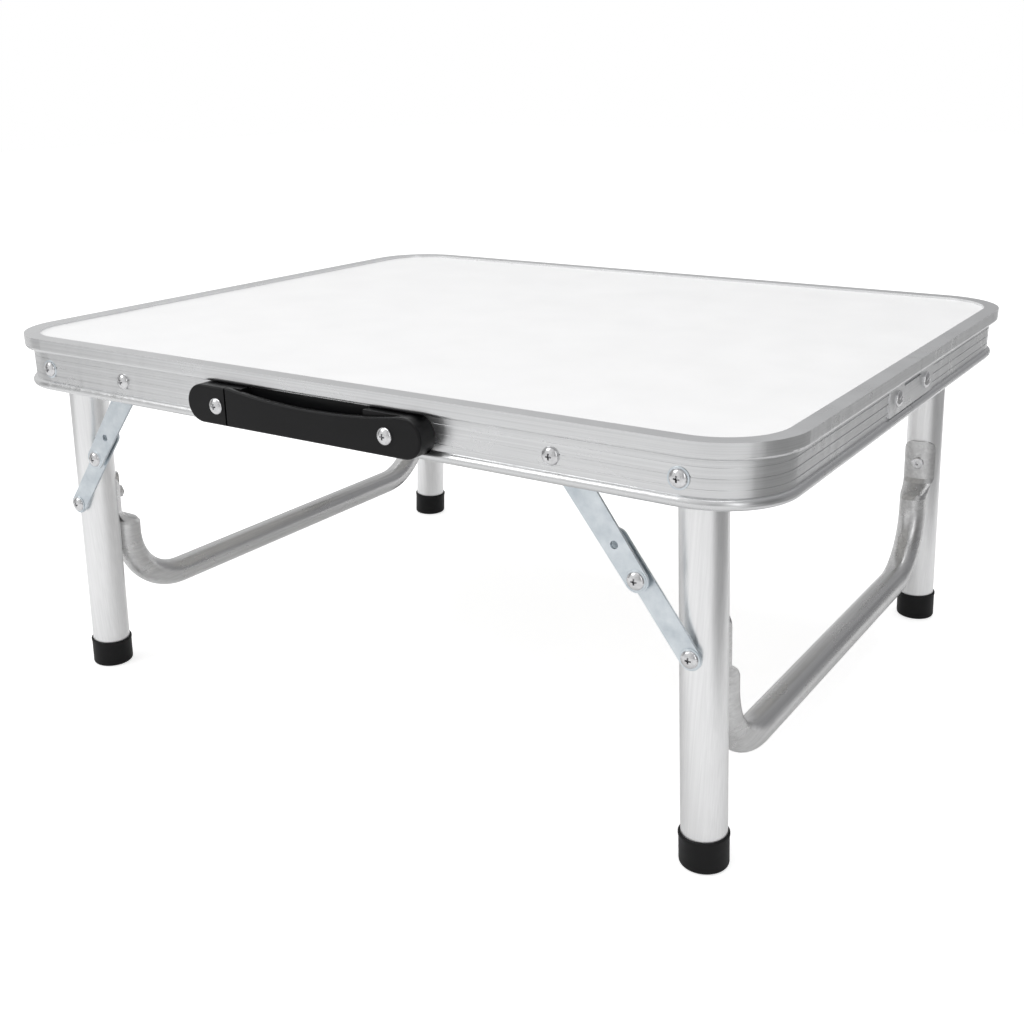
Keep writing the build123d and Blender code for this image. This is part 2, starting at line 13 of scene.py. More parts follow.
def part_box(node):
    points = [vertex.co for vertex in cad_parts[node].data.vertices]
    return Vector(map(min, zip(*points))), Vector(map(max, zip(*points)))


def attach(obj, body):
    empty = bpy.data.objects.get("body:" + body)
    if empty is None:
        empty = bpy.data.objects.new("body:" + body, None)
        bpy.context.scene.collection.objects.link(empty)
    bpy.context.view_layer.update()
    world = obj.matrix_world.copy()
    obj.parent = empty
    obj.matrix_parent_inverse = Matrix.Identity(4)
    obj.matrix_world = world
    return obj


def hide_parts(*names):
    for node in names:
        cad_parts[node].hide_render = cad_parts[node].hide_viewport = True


bl_info = {
    "name": "Folding Table Finisher",
    "version": (1, 0, 0),
    "blender": (4, 5, 0),
    "location": "View3D > Sidebar > Folding Table",
    "description": "Gives the low folding table its metal, laminate, rubber and screws",
    "category": "Object",
}

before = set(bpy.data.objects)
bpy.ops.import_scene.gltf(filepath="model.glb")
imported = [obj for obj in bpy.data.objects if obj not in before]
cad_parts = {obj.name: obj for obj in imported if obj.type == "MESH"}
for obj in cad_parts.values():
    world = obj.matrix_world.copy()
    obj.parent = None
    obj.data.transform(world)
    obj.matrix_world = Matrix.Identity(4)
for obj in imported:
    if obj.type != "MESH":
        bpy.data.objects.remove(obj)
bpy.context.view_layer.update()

# the sign of X on each side of the table
SIDES = {"right": 1, "left": -1}
FORWARDS, BACKWARDS, RIGHTWARDS = (0, -1, 0), (0, 1, 0), (1, 0, 0)

# a pan head, as shares of its own sizes
HEAD_SKIRT = 0.12  # how much of the ball is kept below its middle, by its radius
TIP_CHAMFER = 0.25  # by the shank's radius
TIP_TAPER = 0.75
RECESS_TAPER = 0.42
WASHER_HOLE = 0.9  # by the head's radius

# a rubber foot, as shares of its height or of its wall
CUP_DEPTH = 0.7
RIM_EDGES = (0.86, 0.92)
RIM_ROUND = 0.45
# the rings of the ribbed sole from outside in: width, and step up from the floor
SOLE_RINGS = ((0.0012, 0.0), (0.0008, 0.0006), (0.0022, 0.0), (0.0008, -0.0006))
SOLE_BAND = 0.0008  # faces this near to the floor or to the sole's middle belong to the sole

# studio: lights as name, place, size and power in watts
LIGHTS = (
    ("Key light", (-1.3, -1.6, 1.7), (1.0, 1.4), 9),
    ("Right light", (1.6, -1.3, 0.9), (0.35, 1.4), 3),
    ("Top light", (0.0, 0.2, 2.4), (2.0, 2.0), 26),
)
LIGHTS_AIM = (0, 0, 0.15)
# cards that only show in the metal, as name, place, size, turn and tone. Two lie on the floor
# beside the table and four stand round it
UPRIGHT = math.radians(90)
CARDS = (
    ("right_card", (1.05, 0.75, 0.004), (1.1, 2.3), (0, 0, 0), 0.30),
    ("left_card", (-1.0, 0.3, 0.004), (0.5, 2.2), (0, 0, 0), 0.50),
    ("right_screen", (1.5, -0.10, 0.35), (0.9, 1.6), (UPRIGHT, 0, UPRIGHT), 0.22),
    ("left_screen", (-1.5, -0.9, 0.35), (0.7, 1.6), (UPRIGHT, 0, -UPRIGHT), 0.30),
    ("corner_screen", (0.85, -1.75, 0.35), (0.16, 1.6), (UPRIGHT, 0, math.radians(25)), 0.30),
    ("front_screen", (0.30, -1.90, 0.35), (0.10, 1.6), (UPRIGHT, 0, 0), 0.45),
)
FLOOR_SIZE = 12
FLOOR_MIDDLE = (0, 2, 0)
FLOOR_SHEEN = 0.14  # the part of the floor's glow that the table receives as well
ROOM_STRENGTH = 0.8
ROOM_DARK_SIDE = (0.75, 0.45, -0.25)
ROOM_LIGHT, ROOM_DARK = (0.98, 0.98, 0.98), (0.38, 0.38, 0.39)
SENSOR_WIDTH = 36


# ---------------------------------------------------------------------------
# Sizes and colours
# ---------------------------------------------------------------------------
class FoldingTableColours(bpy.types.PropertyGroup):
    aluminium: bpy.props.FloatVectorProperty(
        name="Aluminium", description="Colour of the edge frame's anodised metal",
        subtype="COLOR", size=3, min=0, max=1, default=(0.74, 0.745, 0.75),
    )
    tube: bpy.props.FloatVectorProperty(
        name="Leg tube", description="Colour of the satin leg tubes",
        subtype="COLOR", size=3, min=0, max=1, default=(0.92, 0.922, 0.925),
    )
    crossbar: bpy.props.FloatVectorProperty(
        name="Crossbar", description="Colour of the bright crossbar tubes",
        subtype="COLOR", size=3, min=0, max=1, default=(0.66, 0.66, 0.66),
    )
    zinc: bpy.props.FloatVectorProperty(
        name="Zinc", description="Colour of the zinc plated braces",
        subtype="COLOR", size=3, min=0, max=1, default=(0.70, 0.745, 0.775),
    )
    chrome: bpy.props.FloatVectorProperty(
        name="Screws", description="Colour of the plated screws, nuts and rivets",
        subtype="COLOR", size=3, min=0, max=1, default=(0.78, 0.78, 0.79),
    )
    laminate: bpy.props.FloatVectorProperty(
        name="Laminate", description="Colour of the white laminate top",
        subtype="COLOR", size=3, min=0, max=1, default=(0.93, 0.93, 0.93),
    )
    hardboard: bpy.props.FloatVectorProperty(
        name="Underside", description="Colour of the board's underside",
        subtype="COLOR", size=3, min=0, max=1, default=(0.70, 0.69, 0.67),
    )
    plastic: bpy.props.FloatVectorProperty(
        name="Handle", description="Colour of the moulded handle",
        subtype="COLOR", size=3, min=0, max=1, default=(0.004, 0.004, 0.0045),
    )
    rubber: bpy.props.FloatVectorProperty(
        name="Rubber", description="Colour of the rubber feet",
        subtype="COLOR", size=3, min=0, max=1, default=(0.005, 0.005, 0.0055),
    )
    nylon: bpy.props.FloatVectorProperty(
        name="Nylon", description="Colour of the pivot bushes",
        subtype="COLOR", size=3, min=0, max=1, default=(0.80, 0.79, 0.75),
    )


class FoldingTableSizes(bpy.types.PropertyGroup):
    screw_head_radius: bpy.props.FloatProperty(
        name="Screw head radius", description="Radius of the pan heads",
        unit="LENGTH", default=0.0049, min=0.002, max=0.01,
    )
    screw_head_height: bpy.props.FloatProperty(
        name="Screw head height", description="Height of the pan heads over their seats",
        unit="LENGTH", default=0.0026, min=0.001, max=0.005,
    )
    screw_shank_radius: bpy.props.FloatProperty(
        name="Screw shank radius", description="Radius of the screws below their heads",
        unit="LENGTH", default=0.0025, min=0.001, max=0.005,
    )
    recess_span: bpy.props.FloatProperty(
        name="Recess span", description="Tip to tip width of the cross recess",
        unit="LENGTH", default=0.0044, min=0.001, max=0.008,
    )
    recess_slot: bpy.props.FloatProperty(
        name="Recess slot", description="Width of each slot of the cross recess",
        unit="LENGTH", default=0.0012, min=0.0004, max=0.003,
    )
    recess_depth: bpy.props.FloatProperty(
        name="Recess depth", description="Depth of the cross recess",
        unit="LENGTH", default=0.0020, min=0.0005, max=0.0025,
    )
    washer_width: bpy.props.FloatProperty(
        name="Washer width", description="How far a washer shows round its screw head",
        unit="LENGTH", default=0.0009, min=0.0003, max=0.003,
    )
    washer_thickness: bpy.props.FloatProperty(
        name="Washer thickness", description="Thickness of the washers",
        unit="LENGTH", default=0.0004, min=0.0002, max=0.001,
    )
    foot_wall: bpy.props.FloatProperty(
        name="Foot wall", description="Thickness of the rubber foot's wall round the tube",
        unit="LENGTH", default=0.001, min=0.0005, max=0.003,
    )
    foot_lip: bpy.props.FloatProperty(
        name="Foot lip", description="How far the rubber foot's rim stands out",
        unit="LENGTH", default=0.0003, min=0.0, max=0.001,
    )
    foot_round: bpy.props.FloatProperty(
        name="Foot round", description="Radius of the rubber foot's lower edge",
        unit="LENGTH", default=0.0022, min=0.0005, max=0.004,
    )
    leg_lean: bpy.props.FloatProperty(
        name="Leg lean", description="Outward lean of the open legs",
        unit="ROTATION", default=math.radians(2.5), min=0.0, max=0.3,
    )


class FoldingTableStudio(bpy.types.PropertyGroup):
    floor: bpy.props.FloatVectorProperty(
        name="Floor", description="Colour of the studio floor",
        subtype="COLOR", size=3, min=0, max=1, default=(0.72, 0.72, 0.72),
    )
    floor_glow: bpy.props.FloatProperty(
        name="Floor glow",
        description="Light that the floor gives off, so that it stays pale far out",
        default=0.66, min=0.0, max=1.0,
    )
    camera_place: bpy.props.FloatVectorProperty(
        name="Camera", description="Where the camera stands",
        subtype="TRANSLATION", unit="LENGTH", size=3, default=(0.46149, -0.71971, 0.39706),
    )
    camera_yaw: bpy.props.FloatProperty(
        name="Camera yaw", description="Turn of the camera to the left of straight back",
        unit="ROTATION", default=0.579367,
    )
    camera_pitch: bpy.props.FloatProperty(
        name="Camera pitch", description="Downward tilt of the camera",
        unit="ROTATION", default=0.335322,
    )
    camera_roll: bpy.props.FloatProperty(
        name="Camera roll", description="Roll of the camera about its line of sight",
        unit="ROTATION", default=-0.010345,
    )
    focal_length: bpy.props.FloatProperty(
        name="Focal length", description="Lens for a 36 mm wide sensor",
        unit="CAMERA", default=44.27,
    )


# ---------------------------------------------------------------------------
# Finishes
# ---------------------------------------------------------------------------
def new_finish(name, colour, roughness, metallic=0.0, **constants):
    """A material with its constants on the shader's own sockets."""
    finish = bpy.data.materials.new(name)
    finish.use_nodes = True
    shader = finish.node_tree.nodes["Principled BSDF"]
    shader.inputs["Base Color"].default_value = (*colour, 1)
    shader.inputs["Roughness"].default_value = roughness
    shader.inputs["Metallic"].default_value = metallic
    for socket, value in constants.items():
        shader.inputs[socket.replace("_", " ")].default_value = value
    return finish, finish.node_tree, shader


def pattern(tree, spacing, rotation=(0, 0, 0), detail=4.0, roughness=0.6):
    """Noise on object coordinates. spacing is the size of the marks along x, y and z."""
    place = tree.nodes.new("ShaderNodeTexCoord")
    turn = tree.nodes.new("ShaderNodeMapping")
    turn.vector_type = "POINT"
    turn.inputs["Rotation"].default_value = rotation
    stretch = tree.nodes.new("ShaderNodeMapping")
    stretch.inputs["Scale"].default_value = [1 / size for size in spacing]
    noise = tree.nodes.new("ShaderNodeTexNoise")
    noise.inputs["Scale"].default_value = 1.0
    noise.inputs["Detail"].default_value = detail
    noise.inputs["Roughness"].default_value = roughness
    tree.links.new(place.outputs["Object"], turn.inputs["Vector"])
    tree.links.new(turn.outputs["Vector"], stretch.inputs["Vector"])
    tree.links.new(stretch.outputs["Vector"], noise.inputs["Vector"])
    return noise.outputs["Fac"]


def spread(tree, source, low, high, start=0.3, end=0.7):
    """Maps a pattern to values: low at the pattern's start and high at its end."""
    node = tree.nodes.new("ShaderNodeMapRange")
    node.inputs["From Min"].default_value = start
    node.inputs["From Max"].default_value = end
    node.inputs["To Min"].default_value = low
    node.inputs["To Max"].default_value = high
    tree.links.new(source, node.inputs["Value"])
    return node.outputs["Result"]


def blend_colours(tree, source, dark, light, start=0.3, end=0.7):
    """Maps a pattern to a range of colours."""
    ramp = tree.nodes.new("ShaderNodeValToRGB")
    ramp.color_ramp.elements[0].position = start
    ramp.color_ramp.elements[0].color = (*dark, 1)
    ramp.color_ramp.elements[1].position = end
    ramp.color_ramp.elements[1].color = (*light, 1)
    tree.links.new(source, ramp.inputs["Fac"])
    return ramp.outputs["Color"]


def shade(colour, factor):
    """A darker or lighter tone of a colour."""
    return tuple(min(1.0, channel * factor) for channel in colour)


def relief(tree, shader, source, height, strength=0.5, under=None):
    """Bumps the surface by a pattern, on top of another bump if one is given."""
    bump = tree.nodes.new("ShaderNodeBump")
    bump.inputs["Strength"].default_value = strength
    bump.inputs["Distance"].default_value = height
    tree.links.new(source, bump.inputs["Height"])
    if under is not None:
        tree.links.new(under, bump.inputs["Normal"])
    tree.links.new(bump.outputs["Normal"], shader.inputs["Normal"])
    return bump.outputs["Normal"]


def anodised_frame_finish(name, colour):
    """Clear anodised extrusion: die lines run round the rail, over a faint cloudiness and a
    shallow waviness along it."""
    finish, tree, shader = new_finish(name, colour, roughness=0.3, metallic=1.0)
    die_lines = pattern(tree, spacing=(0.30, 0.30, 0.0007), detail=5.0, roughness=0.7)
    cloud = pattern(tree, spacing=(0.05, 0.05, 0.03), detail=3.0)
    dull, clear = shade(colour, 0.90), shade(colour, 1.06)
    tint = blend_colours(tree, die_lines, dull, clear, start=0.34, end=0.66)
    tree.links.new(tint, shader.inputs["Base Color"])
    tree.links.new(spread(tree, cloud, low=0.24, high=0.36), shader.inputs["Roughness"])
    lines = relief(tree, shader, die_lines, height=0.00006, strength=0.22)
    waviness = pattern(tree, spacing=(0.007, 0.007, 0.30), detail=1.0)
    relief(tree, shader, waviness, height=0.0006, strength=0.30, under=lines)
    return finish


def drawn_tube_finish(name, colour, lean):
    """Satin tube with fine draw lines along its length. lean turns them with the tube."""
    finish, tree, shader = new_finish(name, colour, roughness=0.34, metallic=1.0)
    along_tube = (0, lean, 0)
    draw_lines = pattern(tree, spacing=(0.0009, 0.0009, 0.40), rotation=along_tube, detail=2.0)
    cloud = pattern(tree, spacing=(0.02, 0.02, 0.08), rotation=along_tube, detail=2.0)
    tint = blend_colours(tree, draw_lines, shade(colour, 0.95), shade(colour, 1.03))
    tree.links.new(tint, shader.inputs["Base Color"])
    tree.links.new(spread(tree, cloud, low=0.31, high=0.38), shader.inputs["Roughness"])
    relief(tree, shader, draw_lines, height=0.00003, strength=0.15)
    return finish


def bright_bar_finish(name, colour):
    """Brighter tube with soft streaks along the bar and slight handling marks."""
    finish, tree, shader = new_finish(name, colour, roughness=0.28, metallic=1.0)
    streaks = pattern(tree, spacing=(0.0022, 0.30, 0.0022), detail=2.0)
    marks = pattern(tree, spacing=(0.02, 0.05, 0.02), detail=4.0)
    tint = blend_colours(tree, streaks, shade(colour, 0.88), shade(colour, 1.08))
    tree.links.new(tint, shader.inputs["Base Color"])
    tree.links.new(spread(tree, marks, low=0.24, high=0.34), shader.inputs["Roughness"])
    relief(tree, shader, streaks, height=0.00002, strength=0.10)
    return finish


def zinc_finish(name, colour):
    """Zinc plate: a pale blue grey with patchy passivation and fine rolling grain."""
    finish, tree, shader = new_finish(name, colour, roughness=0.4, metallic=1.0)
    patches = pattern(tree, spacing=(0.009, 0.009, 0.009), detail=5.0, roughness=0.6)
    grain = pattern(tree, spacing=(0.0009, 0.0009, 0.0009), detail=3.0)
    dull = (colour[0] * 0.88, colour[1] * 0.90, colour[2] * 0.92)
    tint = blend_colours(tree, patches, dull, shade(colour, 1.10))
    tree.links.new(tint, shader.inputs["Base Color"])
    tree.links.new(spread(tree, patches, low=0.48, high=0.34), shader.inputs["Roughness"])
    relief(tree, shader, grain, height=0.00004, strength=0.35)
    return finish


def plated_screw_finish(name, colour):
    """Bright plating with small dull spots."""
    finish, tree, shader = new_finish(name, colour, roughness=0.16, metallic=1.0)
    spots = pattern(tree, spacing=(0.0022, 0.0022, 0.0022), detail=5.0, roughness=0.7)
    tint = blend_colours(tree, spots, shade(colour, 0.80), shade(colour, 1.06))
    tree.links.new(tint, shader.inputs["Base Color"])
    tree.links.new(spread(tree, spots, low=0.26, high=0.12), shader.inputs["Roughness"])
    relief(tree, shader, spots, height=0.00004, strength=0.20)
    return finish


def laminate_finish(name, top, underside, top_height, board_height):
    """White laminate with a fine pebble on top, and a plain pressed underside."""
    finish, tree, shader = new_finish(
        name, top, roughness=0.34, Coat_Weight=0.15, Coat_Roughness=0.2,
    )
    pebble = pattern(tree, spacing=(0.0011, 0.0011, 0.0011), detail=3.0)
    cloud = pattern(tree, spacing=(0.04, 0.04, 0.04), detail=4.0)
    fibres = pattern(tree, spacing=(0.004, 0.0006, 0.002), detail=5.0, roughness=0.7)
    place = tree.nodes.new("ShaderNodeTexCoord")
    split = tree.nodes.new("ShaderNodeSeparateXYZ")
    tree.links.new(place.outputs["Object"], split.inputs["Vector"])
    middle = top_height - board_height / 2
    is_top = spread(
        tree, split.outputs["Z"], low=0.0, high=1.0, start=middle - 0.0002, end=middle + 0.0002,
    )
    below = blend_colours(tree, fibres, shade(underside, 0.86), shade(underside, 1.08))
    above = blend_colours(tree, cloud, shade(top, 0.985), shade(top, 1.01))
    mix = tree.nodes.new("ShaderNodeMix")
    mix.data_type = "RGBA"
    tree.links.new(is_top, mix.inputs["Factor"])
    tree.links.new(below, mix.inputs["A"])
    tree.links.new(above, mix.inputs["B"])
    tree.links.new(mix.outputs["Result"], shader.inputs["Base Color"])
    tree.links.new(spread(tree, cloud, low=0.30, high=0.38), shader.inputs["Roughness"])
    relief(tree, shader, pebble, height=0.00004, strength=0.25)
    return finish


def moulded_finish(name, colour, roughness, grain_size):
    """Black moulding with a spark-eroded grain and faint flow marks."""
    finish, tree, shader = new_finish(name, colour, roughness, Specular_IOR_Level=0.22)
    grain = pattern(tree, spacing=(grain_size,) * 3, detail=2.0)
    flow = pattern(tree, spacing=(0.05, 0.015, 0.01), detail=3.0)
    tint = blend_colours(tree, flow, shade(colour, 0.85), shade(colour, 1.35))
    tree.links.new(tint, shader.inputs["Base Color"])
    gloss = spread(tree, flow, low=roughness - 0.05, high=roughness + 0.07)
    tree.links.new(gloss, shader.inputs["Roughness"])
    relief(tree, shader, grain, height=grain_size * 0.12, strength=0.35)
    return finish


def nylon_finish(name, colour):
    """Natural nylon, a little cloudy."""
    finish, tree, shader = new_finish(name, colour, roughness=0.45, Subsurface_Weight=0.1)
    cloud = pattern(tree, spacing=(0.004, 0.004, 0.004), detail=4.0)
    tint = blend_colours(tree, cloud, shade(colour, 0.93), colour)
    tree.links.new(tint, shader.inputs["Base Color"])
    relief(tree, shader, cloud, height=0.00005, strength=0.2)
    return finish


def put_finish(node, finish):
    """Gives every material slot of a CAD node one finish."""
    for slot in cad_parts[node].material_slots:
        slot.material = finish


# ---------------------------------------------------------------------------
# Modelling helpers
# ---------------------------------------------------------------------------
def clear_selection():
    """Leaves edit mode and deselects everything."""
    if bpy.context.object is not None and bpy.context.object.mode != "OBJECT":
        bpy.ops.object.mode_set(mode="OBJECT")
    bpy.ops.object.select_all(action="DESELECT")


def select_faces(piece, wanted):
    """Selects the faces whose centre and normal pass the test, in edit mode."""
    bpy.ops.mesh.select_mode(type="FACE")
    bpy.ops.mesh.select_all(action="DESELECT")
    mesh = bmesh.from_edit_mesh(piece.data)
    for face in mesh.faces:
        face.select_set(wanted(face.calc_center_median(), face.normal))
    mesh.select_flush_mode()
    bmesh.update_edit_mesh(piece.data)


def select_edges(piece, wanted):
    """Selects the edges whose two ends both pass the test, in edit mode."""
    bpy.ops.mesh.select_mode(type="EDGE")
    bpy.ops.mesh.select_all(action="DESELECT")
    mesh = bmesh.from_edit_mesh(piece.data)
    for edge in mesh.edges:
        edge.select_set(all(wanted(vert.co) for vert in edge.verts))
    bmesh.update_edit_mesh(piece.data)


def face_outwards(piece):
    """Turns every face of a closed piece outwards, in edit mode."""
    bpy.ops.mesh.select_all(action="SELECT")
    bpy.ops.mesh.normals_make_consistent(inside=False)
    if bmesh.from_edit_mesh(piece.data).calc_volume(signed=True) < 0:
        bpy.ops.mesh.flip_normals()


def cut_with(piece, cutter):
    """Takes the cutter's shape out of the piece and removes the cutter."""
    clear_selection()
    bpy.context.view_layer.objects.active = piece
    piece.select_set(True)
    change = piece.modifiers.new("Cut", "BOOLEAN")
    change.operation = "DIFFERENCE"
    change.solver = "EXACT"
    change.object = cutter
    bpy.ops.object.modifier_apply(modifier=change.name)
    bpy.data.objects.remove(cutter, do_unlink=True)


def place_copy(master, name, place, facing):
    """A copy of the master with its own mesh, with its +Z turned to facing."""
    copy = master.copy()
    copy.data = master.data.copy()
    copy.name = name
    bpy.context.collection.objects.link(copy)
    turn = Vector(facing).to_track_quat("Z", "Y").to_matrix().to_4x4()
    copy.matrix_world = Matrix.Translation(place) @ turn
    return copy


def join_pieces(pieces, name):
    """Joins pieces into one that lies at the origin, unturned."""
    clear_selection()
    for piece in pieces:
        piece.select_set(True)
    bpy.context.view_layer.objects.active = pieces[0]
    if len(pieces) > 1:
        bpy.ops.object.join()
    joined = bpy.context.view_layer.objects.active
    joined.name = name
    joined.data.name = name
    bpy.ops.object.transform_apply(location=True, rotation=True, scale=True)
    return joined


def finish_piece(piece, body, finish, angle=35):
    """Shades a finished piece, gives it its finish and puts it on its body."""
    clear_selection()
    piece.select_set(True)
    bpy.context.view_layer.objects.active = piece
    bpy.ops.object.mode_set(mode="EDIT")
    bpy.ops.mesh.select_all(action="SELECT")
    bpy.ops.mesh.remove_doubles(threshold=0.000001)
    face_outwards(piece)
    bpy.ops.object.mode_set(mode="OBJECT")
    bpy.ops.object.shade_smooth_by_angle(angle=math.radians(angle))
    piece.data.materials.clear()
    piece.data.materials.append(finish)
    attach(piece, body)


def node_corners(node):
    """A CAD node's lowest and highest corners."""
    low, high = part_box(node)
    return Vector(low), Vector(high)


def front_seat(node, head_height):
    """Where a lone screw that points backwards sits: the middle of its head's underside."""
    low, high = node_corners(node)
    return Vector(((low.x + high.x) / 2, low.y + head_height, (low.z + high.z) / 2))


# ---------------------------------------------------------------------------
# Screws and washers
# ---------------------------------------------------------------------------
def model_screw(length, sizes):
    """One pan head screw, head up: the seat is at z = 0 and the shank runs down."""
    head_radius, head_height = sizes.screw_head_radius, sizes.screw_head_height
    shank_radius = sizes.screw_shank_radius
    skirt = head_radius * HEAD_SKIRT
    clear_selection()
    bpy.ops.mesh.primitive_uv_sphere_add(segments=48, ring_count=24, radius=head_radius)
    screw = bpy.context.object
    bpy.ops.object.mode_set(mode="EDIT")
    # the dome: half a ball, pressed down to the head's height
    bpy.ops.mesh.select_all(action="SELECT")
    bpy.ops.mesh.bisect(
        plane_co=(0, 0, -skirt), plane_no=(0, 0, 1), use_fill=True, clear_inner=True,
    )
    bpy.ops.mesh.select_all(action="SELECT")
    bpy.ops.transform.translate(value=(0, 0, skirt))
    press = head_height / (head_radius + skirt)
    bpy.ops.transform.resize(value=(1, 1, press), center_override=(0, 0, 0))
    # the shank, drawn out of the seat, with a chamfered tip
    select_faces(
        screw, lambda centre, normal: abs(normal.z) > 0.99 and centre.z < head_height * 0.01,
    )
    bpy.ops.mesh.inset(thickness=head_radius - shank_radius)
    chamfer = shank_radius * TIP_CHAMFER
    bpy.ops.mesh.extrude_region_move(TRANSFORM_OT_translate={"value": (0, 0, chamfer - length)})
    bpy.ops.mesh.extrude_region_move(TRANSFORM_OT_translate={"value": (0, 0, -chamfer)})
    bpy.ops.transform.resize(value=(TIP_TAPER, TIP_TAPER, 1))
    face_outwards(screw)
    bpy.ops.object.mode_set(mode="OBJECT")
    # two tapered blades cut the cross recess. They stand well out over the head
    blade_height = sizes.recess_depth + head_height * 0.4
    blade_middle = head_height * 1.2 - sizes.recess_depth / 2
    for turn in (0, math.pi / 2):
        clear_selection()
        bpy.ops.mesh.primitive_cube_add(size=1, location=(0, 0, blade_middle))
        blade = bpy.context.object
        blade.scale = (sizes.recess_span, sizes.recess_slot, blade_height)
        blade.rotation_euler = (0, 0, turn)
        bpy.ops.object.transform_apply(location=True, rotation=True, scale=True)
        bpy.ops.object.mode_set(mode="EDIT")
        floor_height = min(vert.co.z for vert in bmesh.from_edit_mesh(blade.data).verts)
        select_faces(blade, lambda centre, normal: centre.z < floor_height + 1e-6)
        bpy.ops.transform.resize(value=(RECESS_TAPER, RECESS_TAPER, 1))
        bpy.ops.object.mode_set(mode="OBJECT")
        cut_with(screw, blade)
    return screw


def model_washer(inner_radius, outer_radius, thickness):
    """One flat washer with softened edges, lying on z = 0."""
    clear_selection()
    bpy.ops.mesh.primitive_circle_add(vertices=64, radius=outer_radius, fill_type="NGON")
    washer = bpy.context.object
    bpy.ops.object.mode_set(mode="EDIT")
    bpy.ops.mesh.select_all(action="SELECT")
    bpy.ops.mesh.inset(thickness=outer_radius - inner_radius)
    bpy.ops.mesh.delete(type="FACE")
    bpy.ops.mesh.select_all(action="SELECT")
    bpy.ops.mesh.extrude_region_move(TRANSFORM_OT_translate={"value": (0, 0, thickness)})
    bpy.ops.mesh.select_all(action="SELECT")
    bpy.ops.mesh.normals_make_consistent(inside=False)
    middle_radius = (inner_radius + outer_radius) / 2
    select_edges(washer, lambda co: co.z > thickness * 0.9 and co.xy.length > middle_radius)
    bpy.ops.mesh.bevel(offset=thickness * 0.6, segments=3)
    bpy.ops.object.mode_set(mode="OBJECT")
    return washer


def pivot_seats(sizes):
    """Place and head direction of the four leg pivot screws, left then right."""
    low, high = node_corners("leg_pivot_screws")
    z = (low.z + high.z) / 2
    seats = []
    for x in (low.x + sizes.screw_head_radius, high.x - sizes.screw_head_radius):
        seats.append((Vector((x, low.y + sizes.screw_head_height, z)), FORWARDS))
        seats.append((Vector((x, high.y - sizes.screw_head_height, z)), BACKWARDS))
    return seats


def lone_fasteners(name):
    """The nodes of one brace's two fasteners, each with its body."""
    return (f"{name}_leg_bolt", f"leg_set_{name}"), (f"{name}_knee_pin", f"brace_upper_{name}")


# ---------------------------------------------------------------------------
# Operators
# ---------------------------------------------------------------------------
class TABLE_OT_metal_finishes(bpy.types.Operator):
    """Finish the rail, legs, crossbars, braces and plates"""

    bl_idname = "folding_table.metal_finishes"
    bl_label = "Metal finishes"

    def execute(self, context):
        colours = context.scene.folding_table_colours
        sizes = context.scene.folding_table_sizes
        rail = anodised_frame_finish("Anodised rail", colours.aluminium)
        put_finish("edge_frame", rail)
        plate = anodised_frame_finish("Splice plate", shade(colours.aluminium, 1.06))
        put_finish("splice_plate", plate)
        bar = bright_bar_finish("Bright crossbar", colours.crossbar)
        zinc = zinc_finish("Zinc plate", colours.zinc)
        bright = plated_screw_finish("Bright plating", colours.chrome)
        put_finish("splice_backing", zinc)
        put_finish("brace_frame_spacers", zinc)
        for nuts in ("splice_nuts", "handle_nuts", "leg_pivot_nuts", "brace_frame_nuts"):
            put_finish(nuts, bright)
        for name, side in SIDES.items():
            tube = drawn_tube_finish(f"Satin tube {name}", colours.tube, -side * sizes.leg_lean)
            put_finish(f"{name}_front_leg", tube)
            put_finish(f"{name}_back_leg", tube)
            put_finish(f"{name}_crossbar", bar)
            for part in ("upper_link", "lower_link", "knee_tail", "leg_spacer"):
                put_finish(f"{name}_{part}", zinc)
            put_finish(f"{name}_leg_bolt_nut", bright)
            put_finish(f"{name}_back_rivet", bright)
        return {"FINISHED"}


class TABLE_OT_top_and_mouldings(bpy.types.Operator):
    """Finish the laminate top, the handle, the plugs and the bushes"""

    bl_idname = "folding_table.top_and_mouldings"
    bl_label = "Top and mouldings"

    def execute(self, context):
        colours = context.scene.folding_table_colours
        low, high = node_corners("board")
        laminate = laminate_finish(
            "White laminate", colours.laminate, colours.hardboard, high.z, high.z - low.z,
        )
        put_finish("board", laminate)
        black = colours.plastic
        moulding = moulded_finish("Handle moulding", black, roughness=0.34, grain_size=0.0005)
        for node in ("handle_base", "handle_grip", "left_leg_plugs", "right_leg_plugs"):
            put_finish(node, moulding)
        put_finish("leg_pivot_bushes", nylon_finish("Nylon bush", colours.nylon))
        return {"FINISHED"}


